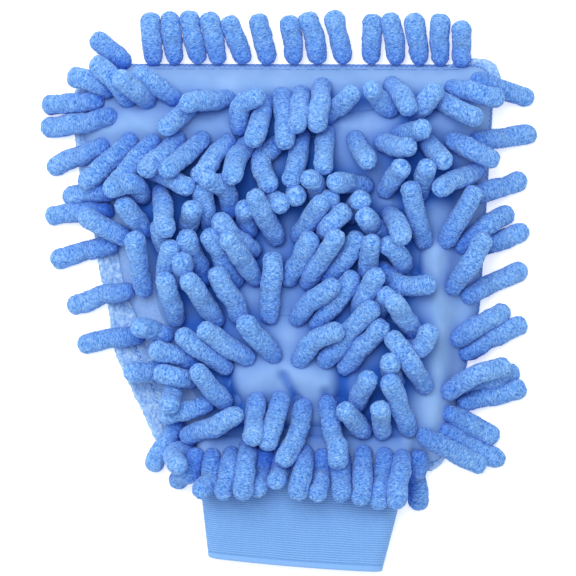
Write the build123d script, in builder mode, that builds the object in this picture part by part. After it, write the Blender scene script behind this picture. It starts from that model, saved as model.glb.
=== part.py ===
"""Chenille wash mitt, lying flat with its cuff towards -Y.

A hand bag of two cloth panels, sewn together round the edge, with an elastic cuff.
The front panel carries rows of chenille tufts.  All sizes are in millimetres.
The underside of the back panel lies on z = 0, and +Y points to the fingertips.
"""
from build123d import *
import math
import os
import numpy as np

# ---- driving dimensions -------------------------------------------------------------
BACK_THICKNESS = 3.0        # loop-pile cloth of the back
FRONT_THICKNESS = 1.4       # knit cloth of the front
LINING_THICKNESS = 0.6
CLOTH_GAP = 0.3             # air between two cloths that lie on each other
SEAM_ALLOWANCE = 5.0        # flat border where the two panels are sewn together
PUFF_HEIGHT = 18.0          # how far the front panel rises above its border
PUFF_INSET = 36.0           # how far inside the border it gets to its full height
PUFF_STEPS = 4              # sections between the border and the top of the puff
SEAM_WIDTH = 2.4            # overlock stitch along the edge
SEAM_HEIGHT = 0.6
SEAM_INSET = 0.2            # from the front panel's edge to the overlock stitch
SEAM_AIR = 0.05             # between a stitch line and the cloth under it

TUFT_RADIUS = 4.0
TUFT_LENGTH = 25.0          # root centre to tip centre of a tuft that is not raised
TUFT_GAP = 0.4              # least space between a tuft and what it lies on
TUFT_LIFT = 12.5            # most that a short, raised tuft stands up from its root
OVERHANG_RISE = 2.0         # most that a tuft rises whose tip hangs over the edge
STITCH_RADIUS = 0.15
STITCH_HEIGHT = 0.35        # height of the stitch line's centre above the front panel

CUFF_SKIN = 0.7             # one layer of the cuff's knit
CUFF_WALL = 2.4             # both layers and the rubber yarns between them
YARN_RADIUS = 0.3
YARN_PITCH = 1.02           # one rib of the cuff
NECK_CENTRE = (7.0, -68.0)
NECK_SIZE = (100.0, 13.5)
NECK_UNDERSIDE = 3.4        # the cuff's end lies on the back panel
NECK_THREAD_AIR = 0.1       # between the cuff's inner skin and the join seam
CUFF_EDGE = 0.28            # share of the cuff's length that lies on the back panel
MOUTH_CENTRE = (2.4, -123.9)
MOUTH_SIZE = (79.5, 12.0)
MOUTH_SKEW = 4.7            # degrees that the mouth slants, low at +X
MOUTH_HEM = 2.0             # plain hem below the last rib

# corners of the panels (x, y), clockwise from the top left, with the corners' radii
FRONT_CORNERS = [(-100, 103), (93.5, 102.5), (86.5, -8), (70, -79.5), (-49, -79.5), (-82, 0)]
FRONT_RADII = [24, 9, 60, 9, 9, 60]
PUFF_RADII = [20, 10, 50, 10, 10, 50]
BACK_CORNERS = [(-101.5, 104.5), (95, 104), (87.5, -8), (71.5, -81), (-53.5, -81), (-77.5, -30), (-87, 4)]
BACK_RADII = [24, 9, 60, 9, 9, 50, 50]

# The nap, laid by hand.  One tuft is (root x, root y, tip x, tip y) in millimetres, and for
# a curved one also how far its middle lies to the left of the line from root to tip.
ROWS = {
    1: [(-76, 104.5, -86, 112), (-62, 106.5, -63.5, 122), (-52.5, 107, -54, 122), (-42, 107, -46, 122),
        (-33, 107, -37, 121.5), (-22, 107, -26.5, 120.5), (-10.5, 107, -13.5, 122), (1.8, 107, 0.4, 121),
        (12.4, 107, 8.5, 122.5), (23.8, 107, 20.5, 123), (36.7, 107, 37.5, 121), (48.2, 106.8, 46, 121),
        (58.7, 106.6, 57.5, 121.5), (68.3, 106.4, 68, 120.5), (77.7, 105.5, 78, 117)],
    2: [(-73.5, 86.5, -86, 100), (-83, 90.5, -96, 96.5), (-88, 85, -108, 83.5), (-83, 79, -109, 75.5),
        (-64.5, 86, -75, 94.5), (-53, 87, -66.5, 96), (-42, 86, -55, 73.5), (-29, 86, -45.5, 83.5),
        (-23, 74, -15.5, 86, 5), (-10.5, 83, -17, 67.5), (-4.5, 87, -2.5, 67), (5, 88, 3.5, 74),
        (14.5, 91, 12, 73.5), (17, 79, 28, 87.5), (44, 82, 37, 89.5), (46, 92, 52, 82),
        (57, 80, 64, 88), (66, 86, 82, 77.5), (74, 91, 92, 87), (86, 94, 107, 88)],
    3: [(-86, 64.5, -106, 55.5), (-73, 66.5, -90.5, 49.5, 1), (-62, 66, -79, 46.5), (-51, 67, -63.5, 53.5),
        (-40, 67, -54, 54.5), (-28, 66, -40, 52.5), (-19, 65, -25.5, 50, -3), (-6, 65, -10, 47.5, -8),
        (5, 68, 1.5, 50), (16, 70, 15, 55.5), (29.5, 67, 34.5, 58), (42, 66, 52.5, 62.5),
        (51, 70, 59, 71), (62, 66, 68.5, 57.5), (74, 67, 90.5, 59), (86, 67.5, 108, 71)],
    4: [(-81, 44.5, -99, 43), (-85, 36, -107, 33.5), (-66, 43, -79, 45.5, -4), (-61.5, 53, -47, 46),
        (-58, 44, -55, 27.5), (-27, 36, -36, 48, -6), (-13, 42, -4.5, 38), (5, 48, 3, 41.5),
        (13, 42, 8.5, 50), (33, 47, 20.5, 47.5), (19, 31, 18, 42), (27, 34, 31.5, 41),
        (43.5, 46, 48.5, 54),
        (58.5, 45, 61.5, 54.5), (84, 54, 67, 45), (84, 43, 104, 48.5)],
    5: [(-82, 20, -104, 14, -1.5), (-75, 24, -91, 33.5), (-65.5, 28, -74, 37.5), (-56, 19, -59, 27.5),
        (-46, 27, -44, 37), (-36, 30, -39, 43), (-19, 26, -21, 36), (-17, 19.5, -30, 31),
        (-6.5, 24, -14.5, 40),
        (4, 25, 13, 38.5), (16, 26, 22.5, 33.5), (44, 25, 33.5, 32), (45, 33, 49, 24),
        (60, 23, 54, 45), (71, 23, 82, 43), (79, 20, 97, 34), (88, 20, 105.5, 26)],
    6: [(-75, -1, -97, -7.5, -2), (-66, 1, -69, 22), (-56, 5, -53, 18.5), (-47, 4, -48, 13),
        (-39, 6, -46, 21.5), (-25, 5, -35.5, 23), (-16, 6, -27, 22), (0, 6, 8.5, 22),
        (8.5, 4, 20, 22.5), (18, 6, 29, 22), (36, 8, 36, 20.5), (49, 10, 44.5, 21),
        (43, 10, 62, 3, -6), (74, 2, 86, 22), (82, -2, 105, 8)],
    7: [(-70, -21, -93, -24.5, -1.5), (-57, -20, -67.5, -16.5), (-51.5, -12.5, -55, 3.5),
        (-33.5, -13, -44.5, 4.5),
        (-22, -12, -32.5, 6.5), (-9.5, -11, -8, 12.5), (4, -12, 18.5, 1, 3.5), (13, -15, 26.5, 4.5),
        (31.5, -8, 37.5, 5.5), (39, -11, 42, -2), (56, -19, 46, -5.5), (77, -21.5, 96, -10),
        (81, -28, 103.5, -17)],
    8: [(-58, -36, -69, -37), (-45, -32, -59, -27), (-45, -40, -56, -38), (-30, -34, -47.5, -20.5),
        (-20, -30, -36.5, -19), (-8, -28.5, -19, -15.5), (5, -31, 21, -19, 4), (16.5, -31, 35.5, -9.5),
        (25.5, -34, 40, -16.5), (53, -27, 62, -20.5), (47, -40, 44, -31.5)],
    9: [(-52, -43, -54, -52), (-39, -52, -55, -57), (-30, -50, -41.5, -37.5), (-15, -51, -16, -65.5),
        (-4.5, -50, -9, -68.5), (5, -53, -3.5, -75, 3), (17, -52, 22, -76), (30, -51, 34, -39.5),
        (60, -42, 46.5, -21.5), (73, -46, 95.5, -35.5, 4), (78, -43, 100.5, -38.5), (79, -53, 103.5, -45)],
    10: [(-52, -62, -61, -78), (-46, -67, -25, -55), (-47, -70, -48.5, -79), (33, -63, 25.5, -54.5),
         (41, -63, 40, -53.5), (53, -62, 45.5, -41.5), (62, -66, 85, -79), (72, -63.5, 93.5, -76),
         (74, -56, 92, -66.5)],
    11: [(-43, -75, -50, -86), (-34, -76, -39.5, -88.5, 1), (-26, -74, -29.5, -89), (-18, -73, -21, -89.5),
         (-12, -74, -13.5, -89), (-5, -74, -5.5, -86), (7, -74, 3.5, -89.5), (15, -76, 12.5, -90.5),
         (22.5, -76, 22.5, -91), (33, -74, 31.5, -92), (43, -75, 40, -94), (50.5, -76, 48, -94),
         (57.5, -77, 58.5, -96.5)],
}

TUFT_LEAST_RISE = 5.0
HALF_STATIONS = 4           # test points on each half of a tuft
SETTLE_ROUNDS = 400
LAST_ROUNDS = 60            # rounds without any pull, so that the last overlaps open
PUSH_SHARE = 0.25
ROOT_PULL = 0.15
MIDDLE_PULL = 0.02
TIP_PULL = 0.08
SINK = 0.012
ROOT_SLACK = 2.0            # most that a root stands off the panel
GRID_CELL = 0.75
GRID_REACH = 140.0
STRAIGHT_TURN = math.radians(4)
BEND_SHARE = 0.45
END_ROUNDING = 0.93
STITCH_SPACE = 0.1          # share of a stitch that dips into the cloth at each end
STITCH_LEAST = 4.0          # roots nearer than this share a stitch
HOLD_STEP = 0.25
SIDE_SEAM_STITCHES = 12
SIDE_SEAM_STITCH = (0.8, 2.0, 0.8)
SIDE_SEAM_DEPTH = 0.6       # from the cuff's inner skin to the middle of these stitches
OVERRUN = 0.05              # share by which a cutting tube passes the cuff's ends

CUFF_LENGTH = math.dist(NECK_CENTRE, MOUTH_CENTRE)
NECK_ROOM_START = -0.02     # where the front is cut away for the cuff, as shares of its length
NECK_ROOM_END = 0.4
JOIN_SEAM_START = 0.02
JOIN_SEAM_END = 0.08

FRONT_BASE = BACK_THICKNESS + 0.1             # underside of the front panel's border
FRONT_BORDER_TOP = FRONT_BASE + FRONT_THICKNESS
FRONT_TOP = FRONT_BORDER_TOP + PUFF_HEIGHT

os.makedirs("parts", exist_ok=True)


# ---- outlines and the puffed shape --------------------------------------------------
def moved_in(corners, inset):
    """The corners of a convex clockwise outline, with each side moved in by inset."""
    count = len(corners)
    sides = []
    for (ax, ay), (bx, by) in zip(corners, corners[1:] + corners[:1]):
        length = math.hypot(bx - ax, by - ay)
        nx, ny = (by - ay) / length, -(bx - ax) / length
        sides.append((nx, ny, nx * ax + ny * ay + inset))
    inner = []
    for index in range(count):
        nx, ny, nd = sides[index - 1]
        mx, my, md = sides[index]
        cross = nx * my - ny * mx
        inner.append(((nd * my - md * ny) / cross, (nx * md - mx * nd) / cross))
    return inner


def outline_face(corners, radii, inset, height):
    """A flat face with rounded corners, moved in by inset, at this height."""
    with BuildSketch(Plane.XY.offset(height)) as sketch:
        with BuildLine():
            FilletPolyline(*moved_in(corners, inset), radius=radii, close=True)
        make_face()
    return sketch.sketch


def puff_profile(drop):
    """(inset, height) of the puff's sections, for a cloth that lies drop below the front."""
    sections = []
    for step in range(PUFF_STEPS + 1):
        angle = math.radians(90.0 * step / PUFF_STEPS)
        inset = SEAM_ALLOWANCE + drop + (PUFF_INSET - drop) * (1 - math.cos(angle))
        height = FRONT_BORDER_TOP + (PUFF_HEIGHT - drop) * math.sin(angle)
        sections.append((inset, height))
    return sections


def puff_solid(drop):
    """The solid under the puffed front, down to its border."""
    with BuildPart() as puff:
        for inset, height in puff_profile(drop):
            with BuildSketch(Plane.XY.offset(height)):
                with BuildLine():
                    FilletPolyline(*moved_in(FRONT_CORNERS, inset), radius=PUFF_RADII, close=True)
                make_face()
        loft()
    return puff.part


def cuff_size(share):
    """Width and height of the cuff's section, from the neck at 0 to the mouth at 1."""
    width = NECK_SIZE[0] + share * (MOUTH_SIZE[0] - NECK_SIZE[0])
    height = NECK_SIZE[1] + share * (MOUTH_SIZE[1] - NECK_SIZE[1])
    return width, height


def cuff_underside(share):
    """The cuff lies on the back panel up to its edge, and then comes down to the rest plane."""
    return NECK_UNDERSIDE * min(1.0, (1 - share) / (1 - CUFF_EDGE))


def cuff_plane(share):
    """Section plane of the cuff, from the neck at 0 to the mouth at 1."""
    skew = math.radians(MOUTH_SKEW * share)
    x = NECK_CENTRE[0] + share * (MOUTH_CENTRE[0] - NECK_CENTRE[0])
    y = NECK_CENTRE[1] + share * (MOUTH_CENTRE[1] - NECK_CENTRE[1])
    z = cuff_underside(share) + cuff_size(share)[1] / 2
    return Plane(origin=(x, y, z), x_dir=(math.cos(skew), -math.sin(skew), 0),
                 z_dir=(-math.sin(skew), -math.cos(skew), 0))


def cuff_solid(inset, start, end):
    """The flattened tube inside the cuff's outer face, from share start to share end."""
    between_ends = [CUFF_EDGE] if start < CUFF_EDGE < end else []
    with BuildPart() as tube:
        for share in [start] + between_ends + [end]:
            width, height = cuff_size(share)
            with BuildSketch(cuff_plane(share)):
                SlotOverall(width - 2 * inset, height - 2 * inset)
        loft(ruled=True)
    return tube.part


# ---- panels ------------------------------------------------------------------------
def make_back_panel():
    """Loop-pile cloth that lies flat."""
    with BuildPart() as back_panel:
        add(extrude(outline_face(BACK_CORNERS, BACK_RADII, 0, 0), amount=BACK_THICKNESS, mode=Mode.PRIVATE))
    back_panel.part.label = "back_panel"
    export_step(back_panel.part, "parts/back_panel.step")


def neck_room():
    """Room for the cuff's end at the front panel's lower edge, with a little air round it."""
    return cuff_solid(-CLOTH_GAP, NECK_ROOM_START, NECK_ROOM_END)


def make_front_panel():
    """Thin knit cloth: a flat border and a puffed shell, open at the neck."""
    with BuildPart() as front_panel:
        add(extrude(outline_face(FRONT_CORNERS, FRONT_RADII, 0, FRONT_BASE), amount=FRONT_THICKNESS,
                    mode=Mode.PRIVATE))
        add(puff_solid(0))
        add(puff_solid(FRONT_THICKNESS), mode=Mode.SUBTRACT)
        inner = outline_face(FRONT_CORNERS, PUFF_RADII, SEAM_ALLOWANCE + FRONT_THICKNESS, FRONT_BASE)
        add(extrude(inner, amount=FRONT_THICKNESS, mode=Mode.PRIVATE), mode=Mode.SUBTRACT)
        add(neck_room(), mode=Mode.SUBTRACT)
    front_panel.part.label = "front_panel"
    export_step(front_panel.part, "parts/front_panel.step")


def make_lining_front():
    """Front half of the thin inner bag, just under the front panel."""
    drop = FRONT_THICKNESS + CLOTH_GAP
    with BuildPart() as lining_front:
        add(puff_solid(drop))
        add(puff_solid(drop + LINING_THICKNESS), mode=Mode.SUBTRACT)
        add(neck_room(), mode=Mode.SUBTRACT)
    lining_front.part.label = "lining_front"
    export_step(lining_front.part, "parts/lining_front.step")


def make_lining_back():
    """Back half of the thin inner bag, on the back panel."""
    inset = SEAM_ALLOWANCE + FRONT_THICKNESS + 2 * CLOTH_GAP
    sheet = outline_face(FRONT_CORNERS, PUFF_RADII, inset, BACK_THICKNESS + CLOTH_GAP)
    with BuildPart() as lining_back:
        add(extrude(sheet, amount=LINING_THICKNESS, mode=Mode.PRIVATE))
        add(neck_room(), mode=Mode.SUBTRACT)
    lining_back.part.label = "lining_back"
    export_step(lining_back.part, "parts/lining_back.step")


def make_perimeter_seam():
    """Overlock thread that runs round the edge on top of the front panel's border."""
    low = FRONT_BORDER_TOP + SEAM_AIR
    with BuildPart() as perimeter_seam:
        add(extrude(outline_face(FRONT_CORNERS, FRONT_RADII, SEAM_INSET, low), amount=SEAM_HEIGHT,
                    mode=Mode.PRIVATE))
        inner = outline_face(FRONT_CORNERS, FRONT_RADII, SEAM_INSET + SEAM_WIDTH, low)
        add(extrude(inner, amount=SEAM_HEIGHT, mode=Mode.PRIVATE), mode=Mode.SUBTRACT)
        add(neck_room(), mode=Mode.SUBTRACT)
    perimeter_seam.part.label = "perimeter_seam"
    export_step(perimeter_seam.part, "parts/perimeter_seam.step")


# ---- cuff --------------------------------------------------------------------------
def make_cuff():
    """Ribbed knit folded double at the mouth: two skins with a slot between for the yarns."""
    hem = 1 - MOUTH_HEM / CUFF_LENGTH
    with BuildPart() as cuff:
        add(cuff_solid(0, 0, 1))
        add(cuff_solid(CUFF_WALL, -OVERRUN, 1 + OVERRUN), mode=Mode.SUBTRACT)
        slot = cuff_solid(CUFF_SKIN, -OVERRUN, hem)
        core = cuff_solid(CUFF_WALL - CUFF_SKIN, -2 * OVERRUN, hem + OVERRUN)
        add(slot - core, mode=Mode.SUBTRACT)
    cuff.part.label = "cuff"
    export_step(cuff.part, "parts/cuff.step")


def make_cuff_elastic():
    """Rubber yarns that run round inside the cuff, one under each rib."""
    count = int((CUFF_LENGTH - MOUTH_HEM - YARN_PITCH) / YARN_PITCH)
    middle = CUFF_WALL / 2
    with BuildPart() as cuff_elastic:
        for index in range(1, count + 1):
            share = index * YARN_PITCH / CUFF_LENGTH
            width, height = cuff_size(share)
            plane = cuff_plane(share)
            with BuildSketch(plane):
                SlotOverall(width - 2 * (middle - YARN_RADIUS), height - 2 * (middle - YARN_RADIUS))
                SlotOverall(width - 2 * (middle + YARN_RADIUS), height - 2 * (middle + YARN_RADIUS),
                            mode=Mode.SUBTRACT)
            extrude(amount=YARN_RADIUS, both=True)
    cuff_elastic.part.label = "cuff_elastic"
    export_step(cuff_elastic.part, "parts/cuff_elastic.step")


def make_cuff_side_seam():
    """Thread that closes the cuff strip into a tube, on the inside at the +X side."""
    with BuildPart() as cuff_side_seam:
        for index in range(SIDE_SEAM_STITCHES):
            share = JOIN_SEAM_END + (1 - JOIN_SEAM_END) * (index + 1) / (SIDE_SEAM_STITCHES + 1)
            width, _ = cuff_size(share)
            with Locations(cuff_plane(share).location):
                with Locations((width / 2 - CUFF_WALL - SIDE_SEAM_DEPTH, 0, 0)):
                    Box(*SIDE_SEAM_STITCH)
    cuff_side_seam.part.label = "cuff_side_seam"
    export_step(cuff_side_seam.part, "parts/cuff_side_seam.step")


def make_cuff_join_seam():
    """Overlock thread round the neck, inside the cuff's end, that joins cuff and panels."""
    with BuildPart() as cuff_join_seam:
        add(cuff_solid(CUFF_WALL + NECK_THREAD_AIR, JOIN_SEAM_START, JOIN_SEAM_END))
        add(cuff_solid(CUFF_WALL + NECK_THREAD_AIR + SEAM_HEIGHT, JOIN_SEAM_START - OVERRUN,
                       JOIN_SEAM_END + OVERRUN),
            mode=Mode.SUBTRACT)
    cuff_join_seam.part.label = "cuff_join_seam"
    export_step(cuff_join_seam.part, "parts/cuff_join_seam.step")


# ---- the nap: tufts laid one on another ----------------------------------------------
def front_height(x, y):
    """Height of the front panel's or the cuff's outer face, or of the rest plane beside them."""
    share = (NECK_CENTRE[1] - y) / (NECK_CENTRE[1] - MOUTH_CENTRE[1])
    half_width, height = cuff_size(share)[0] / 2, 0.0
    if 0 < share < 1 and abs(x - NECK_CENTRE[0] - share * (MOUTH_CENTRE[0] - NECK_CENTRE[0])) < half_width:
        height = cuff_underside(share) + cuff_size(share)[1]
    inset = edge_inset(FRONT_CORNERS, x, y)
    if inset > SEAM_ALLOWANCE:
        share = min(1.0, (inset - SEAM_ALLOWANCE) / PUFF_INSET)
        return max(height, FRONT_BORDER_TOP + PUFF_HEIGHT * math.sqrt(1 - (1 - share) ** 2) + CLOTH_GAP)
    if inset > 0:
        return max(height, FRONT_BORDER_TOP + SEAM_HEIGHT)
    if edge_inset(BACK_CORNERS, x, y) > 0:
        return max(height, BACK_THICKNESS)
    return height


def edge_inset(corners, x, y):
    """How far a point lies inside an outline; negative outside it."""
    insets = []
    for (ax, ay), (bx, by) in zip(corners, corners[1:] + corners[:1]):
        length = math.hypot(bx - ax, by - ay)
        insets.append(((bx - ax) * (ay - y) - (by - ay) * (ax - x)) / length)
    return min(insets)


def clearance_map():
    """Least height of a tuft's centre above the panel and the rest plane, on a square grid."""
    xs = np.arange(-GRID_REACH, GRID_REACH, GRID_CELL)
    bare = np.array([[front_height(x, y) for y in xs] for x in xs])
    lowest = bare + TUFT_RADIUS + TUFT_GAP
    steps = int(TUFT_RADIUS / GRID_CELL)
    for i in range(-steps, steps + 1):
        for j in range(-steps, steps + 1):
            sideways = GRID_CELL * math.hypot(i, j)
            if sideways < TUFT_RADIUS:
                ball = math.sqrt((TUFT_RADIUS + TUFT_GAP) ** 2 - sideways ** 2)
                lowest = np.maximum(lowest, np.roll(bare, (i, j), axis=(0, 1)) + ball)
    return lowest


def settle(tufts):
    """Centre lines (root, middle, tip) of all tufts once they lie clear of each other.

    Each tuft starts at its place in the plan, rising from root to tip.  In every round the
    tufts that come too near push each other apart, and each is pulled back to its place.
    """
    plan = np.array([tuft[:4] for tuft in tufts], dtype=float)
    bow = np.array([tuft[4] if len(tuft) > 4 else 0.0 for tuft in tufts])
    count = len(plan)
    lowest = clearance_map()
    run = plan[:, 2:] - plan[:, :2]
    leftward = np.stack([-run[:, 1], run[:, 0]], axis=1) / np.linalg.norm(run, axis=1)[:, None]
    middles = plan[:, :2] + run / 2 + leftward * bow[:, None]
    ends = np.stack([plan[:, :2], middles, plan[:, 2:]], axis=1)
    reach = 2 * np.hypot(np.linalg.norm(run, axis=1) / 2, bow)
    rise = np.sqrt(np.maximum(TUFT_LENGTH ** 2 - reach ** 2, TUFT_LEAST_RISE ** 2))
    overhangs = np.array([front_height(x, y) == 0 for x, y in plan[:, 2:]])
    rise = np.minimum(rise, np.where(overhangs, OVERHANG_RISE, TUFT_LIFT))
    lines = np.concatenate([ends, np.zeros((count, 3, 1))], axis=2)
    cells = ((lines[:, :, :2] + GRID_REACH) / GRID_CELL).astype(int)
    lines[:, :, 2] = lowest[cells[:, :, 0], cells[:, :, 1]] + rise[:, None] * np.array([0.0, 0.55, 1.0])
    shares = np.linspace(0, 1, 2 * HALF_STATIONS + 1)
    weights = np.stack([np.maximum(0, 1 - 2 * shares), 1 - abs(2 * shares - 1), np.maximum(0, 2 * shares - 1)])
    owner = np.repeat(np.arange(count), len(shares))
    pull = np.array([ROOT_PULL, MIDDLE_PULL, TIP_PULL])[None, :, None]
    for turn in range(SETTLE_ROUNDS):
        points = np.einsum("ks,nkc->nsc", weights, lines).reshape(-1, 3)
        if turn % 10 == 0:
            gaps = np.linalg.norm(points[:, None] - points[None], axis=2)
            near = (gaps < 3 * TUFT_RADIUS) & (owner[:, None] < owner[None])
            first, second = np.nonzero(near)
        apart = points[first] - points[second]
        distance = np.linalg.norm(apart, axis=1)
        short = np.maximum(0, 2 * TUFT_RADIUS + TUFT_GAP - distance)
        push = apart / distance[:, None] * short[:, None] * PUSH_SHARE
        moves = np.zeros_like(points)
        np.add.at(moves, first, push)
        np.add.at(moves, second, -push)
        lines += np.einsum("ks,nsc->nkc", weights, moves.reshape(count, -1, 3))
        if turn < SETTLE_ROUNDS - LAST_ROUNDS:
            lines[:, :, :2] += pull * (ends - lines[:, :, :2])
            lines[:, :, 2] -= SINK
        points = np.einsum("ks,nkc->nsc", weights, lines)
        cells = ((points[:, :, :2] + GRID_REACH) / GRID_CELL).round().astype(int)
        below = np.maximum(0, lowest[cells[:, :, 0], cells[:, :, 1]] - points[:, :, 2])
        lines[:, :, 2] += np.max(weights[None] * below[:, None, :], axis=2)
        lines[:, 0, 2] = np.minimum(lines[:, 0, 2], lowest[cells[:, 0, 0], cells[:, 0, 1]] + ROOT_SLACK)
    return lines


def tuft_solid(points):
    """A round bar with rounded ends along a centre line of three points."""
    root, middle, tip = [Vector(*point) for point in points]
    first, second = middle - root, tip - middle
    root -= first.normalized() * TUFT_RADIUS
    tip += second.normalized() * TUFT_RADIUS
    turn = math.radians(first.get_angle(second))
    with BuildPart() as tuft:
        with BuildLine() as path:
            if turn < STRAIGHT_TURN:
                Line(root, tip)
            else:
                bend = BEND_SHARE * min(first.length, second.length) / math.tan(turn / 2)
                FilletPolyline(root, middle, tip, radius=bend)
        with BuildSketch(Plane(path.line @ 0, z_dir=path.line % 0)):
            Circle(TUFT_RADIUS)
        sweep()
        fillet(tuft.faces().filter_by(GeomType.PLANE).edges(), END_ROUNDING * TUFT_RADIUS)
    return tuft.part


def make_tuft_rows():
    """Settles all tufts against each other and writes one node for each row."""
    everything = [tuft for tufts in ROWS.values() for tuft in tufts]
    lines = iter(settle(everything).tolist())
    for row, tufts in ROWS.items():
        name = f"tuft_row_{row:02d}"
        solids = [tuft_solid(next(lines)) for _ in tufts]
        with BuildPart() as tuft_row:
            add(solids)
        tuft_row.part.label = name
        export_step(tuft_row.part, f"parts/{name}.step")


def between(start, end, share):
    """The point at this share of the way from start to end."""
    return tuple(a + (b - a) * share for a, b in zip(start, end))


def stitch_solid(start, end):
    """The thread from one tuft's root to the next, just above the front panel."""
    points = [between(start, end, STITCH_SPACE), between(start, end, 1 - STITCH_SPACE)]
    heights = [front_height(*point) for point in points]
    crown = max(0.0, front_height(*between(start, end, 0.5)) - sum(heights) / 2)
    low, high = [Vector(*point, height + crown + STITCH_HEIGHT) for point, height in zip(points, heights)]
    return Solid.make_cylinder(STITCH_RADIUS, (high - low).length, Plane(low, z_dir=high - low))


def held_on_front(x, y):
    """The place nearest below a root where its thread goes through the front panel."""
    while edge_inset(FRONT_CORNERS, x, y) < SEAM_ALLOWANCE / 2 and y > 0:
        y -= HOLD_STEP
    return x, y


def make_row_stitching():
    """Lines of thread on the front panel, one along the roots of each row."""
    stitches = []
    for tufts in ROWS.values():
        roots = sorted(held_on_front(*tuft[:2]) for tuft in tufts)
        pairs = [pair for pair in zip(roots, roots[1:]) if math.dist(*pair) > STITCH_LEAST]
        stitches += [stitch_solid(start, end) for start, end in pairs]
    with BuildPart() as row_stitching:
        add(stitches)
    row_stitching.part.label = "row_stitching"
    export_step(row_stitching.part, "parts/row_stitching.step")


make_back_panel()
make_front_panel()
make_lining_front()
make_lining_back()
make_perimeter_seam()
make_cuff()
make_cuff_elastic()
make_cuff_side_seam()
make_cuff_join_seam()
make_tuft_rows()
make_row_stitching()
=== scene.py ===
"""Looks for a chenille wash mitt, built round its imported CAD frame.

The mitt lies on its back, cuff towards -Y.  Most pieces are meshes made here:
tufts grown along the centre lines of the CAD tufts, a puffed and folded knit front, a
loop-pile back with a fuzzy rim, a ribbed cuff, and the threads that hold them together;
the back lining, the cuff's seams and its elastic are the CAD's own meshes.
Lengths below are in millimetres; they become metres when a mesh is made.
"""

import math

import bmesh
import bpy
import numpy as np
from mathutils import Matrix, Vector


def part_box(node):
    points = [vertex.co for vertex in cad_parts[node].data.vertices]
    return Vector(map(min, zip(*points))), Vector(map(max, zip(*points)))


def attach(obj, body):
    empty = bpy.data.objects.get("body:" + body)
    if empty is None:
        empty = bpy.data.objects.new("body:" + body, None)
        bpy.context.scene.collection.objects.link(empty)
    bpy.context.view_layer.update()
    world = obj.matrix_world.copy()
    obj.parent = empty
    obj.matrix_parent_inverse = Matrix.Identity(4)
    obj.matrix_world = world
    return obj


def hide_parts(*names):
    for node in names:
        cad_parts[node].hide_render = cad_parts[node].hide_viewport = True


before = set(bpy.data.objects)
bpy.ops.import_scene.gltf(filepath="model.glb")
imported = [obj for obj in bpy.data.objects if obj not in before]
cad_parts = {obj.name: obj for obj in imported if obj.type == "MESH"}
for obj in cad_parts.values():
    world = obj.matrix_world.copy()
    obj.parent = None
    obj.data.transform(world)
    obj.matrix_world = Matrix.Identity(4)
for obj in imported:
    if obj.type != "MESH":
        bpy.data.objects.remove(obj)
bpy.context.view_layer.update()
MM = 0.001

# ---- driving values, in millimetres unless they say otherwise ------------------------
TUFT_ROWS = [name for name in sorted(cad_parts) if name.startswith("tuft_row_")]
TUFT_RADIUS = 4.45          # with its pile, a little more than the CAD bar
CAD_TUFT_RADIUS = 4.0
TUFT_SIDES = 34
RING_SPACING = 0.68
CAP_RINGS = 7
PILE_CLUMP = 1.5            # size of one clump of pile
PILE_HEIGHT = 0.9
LUMP_SIZE = 4.5             # broader bumps under the pile
LUMP_HEIGHT = 0.35
SWAY_LENGTH = 9.0           # a tuft's line wanders with this wavelength
SWAY = 0.6                  # and this far to either side
END_FLATNESS = 0.86         # ends a little flatter than a ball, as cut chenille has
TIP_BULGE = 0.92
ROOT_SEAT = 0.72            # height of a root's centre over the front, in tuft radii
GRAIN_STRETCH = (0.62, 0.62, 1.4)       # pile lies in short dashes round the tuft
LEAST_HEIGHT = 0.03         # nothing of a tuft comes nearer to the ground
ROOT_DROP = 3.5             # most that a root sinks to meet the folded front
MAP_REACH = 130             # half the side of the square map of what lies on top
MAP_BLUR = 5.0
DEEP_RANGE = 9.0            # depth among the tufts at which the painted shade is darkest

KNIT_THICKNESS = 1.0
PANEL_SIDES = 400
LET_OUT = 3.4               # how far the front is let out at its left side
LET_OUT_Y = 72.0
LET_OUT_REACH = 14.0
EDGE_HEIGHT = 3.2           # the front's edge, where it meets the back
PUFF_HEIGHT = 19.3
PUFF_REACH = 41.0           # from the edge to the full height
PUFF_POWER = 0.75
FRONT_RINGS = 84
UNDERSIDE_STEP = 6          # the underside has one ring for this many of the upper side
RISE_REACH = 7.0            # folds fade out this near the edge
QUILT = 1.7                 # the cloth rises by this between two rows
QUILT_SINK = 1.1            # after it is pulled down by this along them
QUILT_REACH = 5.0
WRINKLE, WRINKLE_SIZE = 0.7, 6.5        # wrinkles that run with the rows of the knit
CREPE, CREPE_SIZE = 0.3, 3.4            # and finer ones
SWELL, SWELL_SIZE = 1.0, 26
CUFF_AIR = 0.3              # least space between the cuff and the front over it
# ridges (+) and creases (-) of the front: from x, y to x, y, then height and half width
FOLDS = [(66, 18, 68, -20, 3.0, 5), (68, -20, 65, -68, 3.0, 5.5), (57, 19, 57, 5, -3.0, 2.6),
         (52, -75, 66, -75, 2.5, 5), (-18, -42, -10, -38, 4.5, 9), (7, -38, 14, -43, 4.5, 8),
         (-3, -38, 4, -51, -3.0, 2.3), (16, -46, 17, -53, -2.4, 2.4), (76, 12, 74, -60, -1.4, 4),
         (-90, 74, -64, 74, 3.0, 7), (-36, -69, 48, -70, -2.5, 4), (-29, -36, -25, -51, -3.4, 3),
         (24, -34, 23, -50, -3.4, 3), (-78, 18, -75, 2, 2.2, 5), (-69, 17, -69, 3, -3.0, 2.8),
         (-72, -2, -69, -14, 2.2, 5), (-65, 0, -61, -14, -3.0, 2.8), (-68, -27, -65, -34, 1.4, 4),
         (36, 62, 40, 46, 1.4, 4), (43, 41, 46, 36, 1.2, 3)]
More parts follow.
